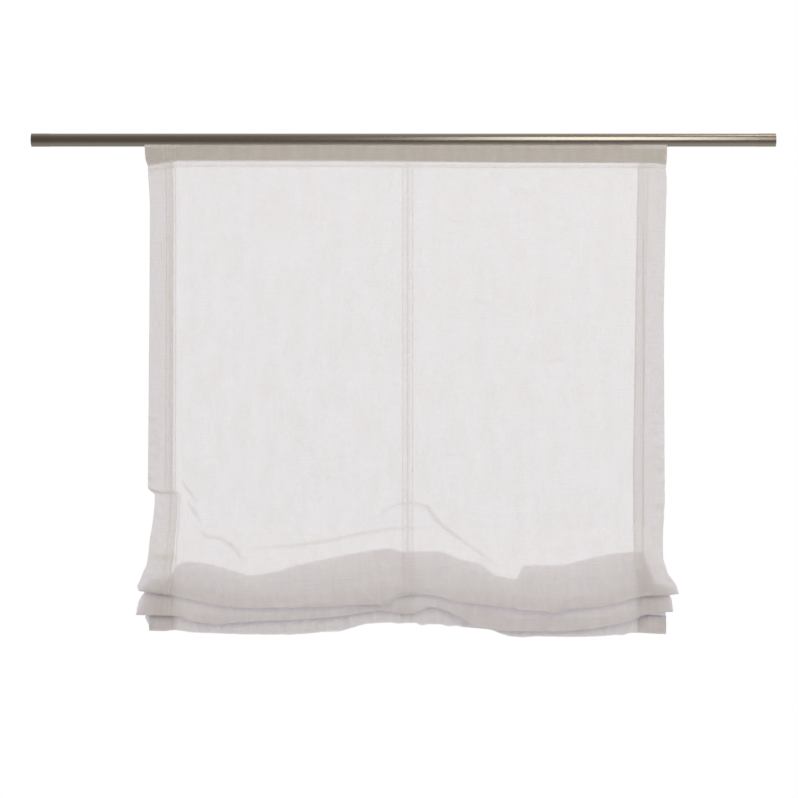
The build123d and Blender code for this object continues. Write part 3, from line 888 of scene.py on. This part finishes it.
def sewLine(name, across, down):
    # a row of stitches that dips through the cloth, along places given on the flat cloth
    steps = np.hypot(np.diff(across), np.diff(down))
    run = np.concatenate([[0], np.cumsum(steps)])
    count = int(run[-1] / sewing["pitch"] * sewing["samples"])
    at = np.linspace(0, run[-1], count + 1)
    xs, ss = np.interp(at, run, across), np.interp(at, run, down)
    dip = np.sin(np.pi * at / sewing["pitch"]) * sewing["dip"] + sewing["lift"]
    path = np.array(shape.points(xs, ss, dip)).T
    along = np.gradient(path, axis=0)
    along /= np.maximum(np.linalg.norm(along, axis=1), 1e-9)[:, None]
    side = np.cross(along, (0.35, 1.0, 0.2))
    side /= np.maximum(np.linalg.norm(side, axis=1), 1e-9)[:, None]
    other = np.cross(along, side)
    bm = bmesh.new()
    bmesh.ops.create_grid(bm, x_segments=count, y_segments=4, size=1)
    for v in bm.verts:
        k = int(round((v.co.x + 1) / 2 * count))
        turn = (v.co.y + 1) * math.pi
        v.co = path[k] + sewing["thread"] * (math.cos(turn) * side[k] + math.sin(turn) * other[k])
    bmesh.ops.remove_doubles(bm, verts=bm.verts, dist=1e-6)
    bmesh.ops.recalc_face_normals(bm, faces=bm.faces)
    bm.normal_update()
    return newObject(name, bm, threadCotton, "blind")


fullWidth = np.linspace(sewing["fromEdge"], blindWidth - sewing["fromEdge"], 300)
downAll = np.linspace(tapes["start"] + sewing["fromEdge"], tapeEnd, 500)
for mark, drop in sewing["heading"].items():
    sewLine(f"headingStitch_{mark}", fullWidth, np.full(300, drop))
loopFoot = loopTop + loopPiece["height"]
lower = 0.5 * askewAt(fullWidth)
sewLine("loopStitchTop", fullWidth, loopTop + sewing["loopInset"] + lower)
sewLine("loopStitchFoot", fullWidth, loopFoot - sewing["loopInset"] + lower)
hemTop = shape.hemLine - cloth["bottomTurn"]
sewLine("hemStitch", fullWidth, np.full(300, hemTop + sewing["hemInset"]))
for side, x in tapeX.items():
    for mark, offset in (("a", sewing["tapeInset"] - half), ("b", half - sewing["tapeInset"])):
        sewLine(f"tapeStitch_{side}_{mark}", x - blindLeft + offset + leanOf(side, downAll), downAll)
downHem = np.linspace(sewing["fromEdge"], shape.hemLine - sewing["fromEdge"], 500)
sewLine("sideStitch_left", np.full(500, hemLeft - sewing["sideInset"]), downHem)
rightSeam = blindWidth - hemRight + sewing["sideInset"]
sewLine("sideStitch_right", rightSeam + leanOf("right", downHem), downHem)

loopRing = {"radius": 0.0019, "thread": 0.0003, "firstDrop": 0.170, "every": 0.150, "above": 0.60}


def makeCordLoops(side, x):
    # small thread loops down the tape, each round the cord
    bm = bmesh.new()
    for s in np.arange(loopRing["firstDrop"], loopRing["above"], loopRing["every"]):
        spot = shape.points(np.array([x - blindLeft]), np.array([s]), np.array([tapes["behind"]]))
        px, py, pz = (float(v[0]) for v in spot)
        ring = bmesh.ops.create_circle(bm, segments=5, radius=loopRing["thread"])["verts"]
        bmesh.ops.rotate(bm, verts=ring, cent=(0, 0, 0), matrix=Matrix.Rotation(math.pi / 2, 3, "X"))
        bmesh.ops.translate(bm, verts=ring, vec=(px + loopRing["radius"], py, pz))
        edges = list(dict.fromkeys(edge for v in ring for edge in v.link_edges))
        bmesh.ops.spin(bm, geom=ring + edges, cent=(px, py, pz), axis=(0, 0, 1), angle=math.pi, steps=8)
    bmesh.ops.holes_fill(bm, edges=[edge for edge in bm.edges if edge.is_boundary], sides=8)
    bmesh.ops.recalc_face_normals(bm, faces=bm.faces)
    newObject(f"cordLoops_{side}", bm, threadCotton, "blind")


for side, x in tapeX.items():
    makeCordLoops(side, x)
print("tapes and stitches sewn")


# studio

studio = {
    "behind": 0.87,
    "windowTint": (0.965, 0.955, 1.0, 1),
    "ahead": 0.12,
    "above": 0.60,
    "below": 0.10,
    "room": [
        (0.0, (.11, .093, .082, 1)), (0.16, (.16, .138, .122, 1)), (0.30, (.26, .235, .208, 1)),
        (0.50, (.37, .35, .312, 1)), (1.0, (.42, .415, .37, 1)),
    ],
    "roomTilt": {"forward": 0.97, "up": 0.24},     # which way the room's levels are read
    "underside": 0.84,                             # the room's strength below the rod
    "sideways": (0.96, 1.30),                      # and towards the left and right
    "key": {
        "place": (1.02, -1.55, 0.66), "size": (0.55, 1.75), "power": 6.0, "colour": (1.0, 0.97, 0.88),
    },
    "fills": {
        "place": (2.2, -2.7, 0.30), "size": (1.4, 1.8), "power": 48, "colour": (1.0, 0.955, 0.89),
    },
    "end": {
        "place": (1.33, -0.08, 1.2), "size": (0.35, 0.25), "power": 0.55, "colour": (1.0, 0.88, 0.70),
    },
    "floor": {"height": -1.50, "radius": 2.4, "centre": (0.575, 0.2), "colour": (0.62, 0.62, 0.62, 1)},
}


def areaLight(name, place, size, power, colour, aim):
    data = bpy.data.lights.new(name, "AREA")
    data.shape = "RECTANGLE"
    data.size, data.size_y = size
    data.energy = power
    data.color = colour
    lamp = bpy.data.objects.new(name, data)
    bpy.context.scene.collection.objects.link(lamp)
    lamp.location = place
    lamp.rotation_euler = (Vector(aim) - Vector(place)).to_track_quat("-Z", "Y").to_euler()
    return lamp


def makeWorld():
    world = bpy.data.worlds.new("studio")
    bpy.context.scene.world = world
    world.use_nodes = True
    tree = world.node_tree
    tree.nodes.clear()
    output = tree.nodes.new("ShaderNodeOutputWorld")
    where = tree.nodes.new("ShaderNodeTexCoord")
    split = tree.nodes.new("ShaderNodeSeparateXYZ")
    tree.links.new(where.outputs["Generated"], split.inputs[0])
    behind = toRange(tree, split.outputs["Y"], -0.15, 0.25, 0.0, 1.0)
    above = toRange(tree, split.outputs["Z"], 0.1, 0.9, studio["ahead"], studio["above"])
    below = toRange(tree, split.outputs["Z"], -0.9, -0.2, studio["below"] - studio["ahead"], 0.0)
    ahead = sumOf(tree, "ADD", above, below)
    rest = sumOf(tree, "SUBTRACT", studio["behind"], ahead)
    level = sumOf(tree, "ADD", ahead, sumOf(tree, "MULTIPLY", behind, rest))
    mirrored = tree.nodes.new("ShaderNodeValToRGB")       # the dim room that the metal shows
    while len(mirrored.color_ramp.elements) < len(studio["room"]):
        mirrored.color_ramp.elements.new(0.5)
    for stop, (place, colour) in zip(mirrored.color_ramp.elements, studio["room"]):
        stop.position = place
        stop.color = colour
    tilt = studio["roomTilt"]
    forward = sumOf(tree, "MULTIPLY", split.outputs["Y"], tilt["forward"])
    forward = sumOf(tree, "SUBTRACT", forward, sumOf(tree, "MULTIPLY", split.outputs["Z"], tilt["up"]))
    around = toRange(tree, forward, -1.0, 1.0, 0.0, 1.0)
    tree.links.new(around, mirrored.inputs["Fac"])
    under = toRange(tree, split.outputs["Z"], -0.05, 0.05, studio["underside"], 1.0)
    rightward = toRange(tree, split.outputs["X"], -0.14, 0.14, *studio["sideways"])
    strength = sumOf(tree, "MULTIPLY", under, rightward)
    path = tree.nodes.new("ShaderNodeLightPath")
    roomLight = addNode(tree, "ShaderNodeBackground")
    tree.links.new(mirrored.outputs["Color"], roomLight.inputs["Color"])
    tree.links.new(strength, roomLight.inputs["Strength"])
    softLight = addNode(tree, "ShaderNodeBackground")
    seen = path.outputs["Is Camera Ray"]                  # the backdrop itself is plain white
    tints = {"A": studio["windowTint"], "B": (1, 1, 1, 1)}
    colour = addNode(tree, "ShaderNodeMix", tints, data_type="RGBA")
    tree.links.new(seen, colour.inputs["Factor"])
    tree.links.new(colour.outputs["Result"], softLight.inputs["Color"])
    tree.links.new(sumOf(tree, "MAXIMUM", level, seen), softLight.inputs["Strength"])
    chosen = addNode(tree, "ShaderNodeMixShader")
    tree.links.new(path.outputs["Is Glossy Ray"], chosen.inputs["Fac"])
    tree.links.new(softLight.outputs[0], chosen.inputs[1])
    tree.links.new(roomLight.outputs[0], chosen.inputs[2])
    tree.links.new(chosen.outputs[0], output.inputs["Surface"])


makeWorld()
aim = ((blindLeft + blindRight) / 2, 0, -0.35)
key, fills, end = studio["key"], studio["fills"], studio["end"]
areaLight("keyLight", key["place"], key["size"], key["power"], key["colour"], (key["place"][0], 0, 0))
areaLight("endLight", end["place"], end["size"], end["power"], end["colour"], (end["place"][0], 0, 0))
for side in (-1, 1):
    place = (aim[0] + side * fills["place"][0], fills["place"][1], fills["place"][2])
    fill = areaLight(f"fillLight_{side}", place, fills["size"], fills["power"], fills["colour"], aim)
    fill.visible_glossy = False


def makeFloor():
    floor = studio["floor"]
    material, tree, output = newMaterial("paleFloor")
    where = addNode(tree, "ShaderNodeTexCoord")
    grain = stretchedNoise(tree, where.outputs["Object"], (18, 18, 18), 3.0, 0.5)
    shader = addNode(tree, "ShaderNodeBsdfPrincipled", {"Base Color": floor["colour"]})
    tree.links.new(toRange(tree, grain, 0.0, 1.0, 0.75, 0.85), shader.inputs["Roughness"])
    centre = (*floor["centre"], floor["height"])
    away = addNode(tree, "ShaderNodeVectorMath", {1: centre}, operation="DISTANCE")
    tree.links.new(where.outputs["Object"], away.inputs[0])
    rim = toRange(tree, away.outputs["Value"], floor["radius"] * 0.45, floor["radius"] * 0.98, 1.0, 0.0)
    clear = addNode(tree, "ShaderNodeBsdfTransparent")
    both = addNode(tree, "ShaderNodeMixShader")
    tree.links.new(rim, both.inputs["Fac"])
    tree.links.new(clear.outputs[0], both.inputs[1])
    tree.links.new(shader.outputs[0], both.inputs[2])
    tree.links.new(both.outputs[0], output.inputs["Surface"])
    bm = bmesh.new()
    bmesh.ops.create_circle(bm, cap_ends=True, segments=96, radius=floor["radius"])
    bmesh.ops.translate(bm, verts=bm.verts, vec=(*floor["centre"], floor["height"]))
    mesh = bpy.data.meshes.new("paleFloor")
    bm.to_mesh(mesh)
    bm.free()
    piece = bpy.data.objects.new("paleFloor", mesh)
    bpy.context.scene.collection.objects.link(piece)
    mesh.materials.append(material)
    piece.visible_glossy = False


makeFloor()
scene = bpy.context.scene
scene.view_settings.view_transform = "Standard"
scene.view_settings.look = "None"
scene.cycles.transparent_max_bounces = 40            # light crosses many layers of cloth
scene.cycles.max_bounces = 24
scene.cycles.transmission_bounces = 20
print("studio lit")
